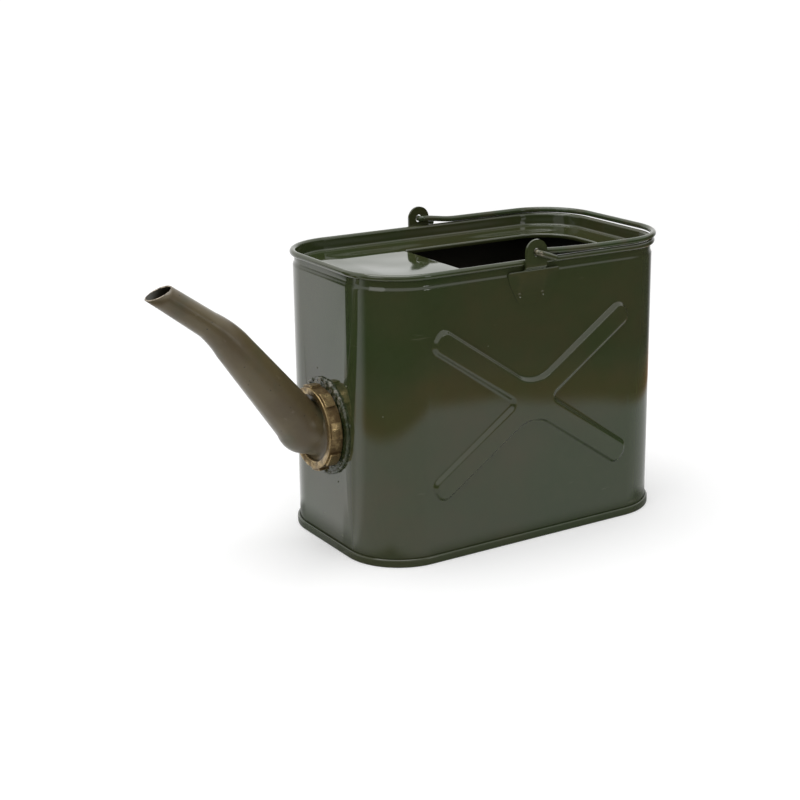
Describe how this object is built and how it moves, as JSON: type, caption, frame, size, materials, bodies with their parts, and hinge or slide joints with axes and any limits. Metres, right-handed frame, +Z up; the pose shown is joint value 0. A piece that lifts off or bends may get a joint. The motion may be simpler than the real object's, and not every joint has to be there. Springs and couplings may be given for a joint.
{
  "type": "watering can",
  "caption": "Oblong olive-painted sheet-metal watering can with pressed crosses, a recessed half-open top, a folded wire bail and a bent spout held by a castellated lock ring.",
  "frame": {"origin": "centre of the body's foot, on the surface it stands on", "axes": "+X away from the spout along the body, +Y across the body, +Z up"},
  "size_m": [0.4675, 0.1986, 0.2668],
  "materials": {
    "olive_paint": "gloss",
    "spout_coat": "satin",
    "ring_metal": "aged",
    "gasket_rubber": "matte"
  },
  "bodies": {
    "can": {"body_shell": "olive_paint", "base_pan": "olive_paint", "top_plate": "olive_paint", "ear_front": "olive_paint", "ear_back": "olive_paint", "spout_socket": "olive_paint", "gasket": "gasket_rubber", "spout": "spout_coat"},
    "bail": {"bail": "olive_paint"},
    "lock_ring": {"lock_ring": "ring_metal"}
  },
  "joints": [
    {"name": "bail_swing", "type": "hinge", "parent": "can", "child": "bail", "pos_m": [-0.001, 0, 0.256], "axis": [0, -1, 0], "range_deg": [0, 177]},
    {"name": "ring_turn", "type": "hinge", "parent": "can", "child": "lock_ring", "pos_m": [-0.1535, 0, 0.1075], "axis": [-1, 0, 0], "range_deg": [0, 45]}
  ]
}
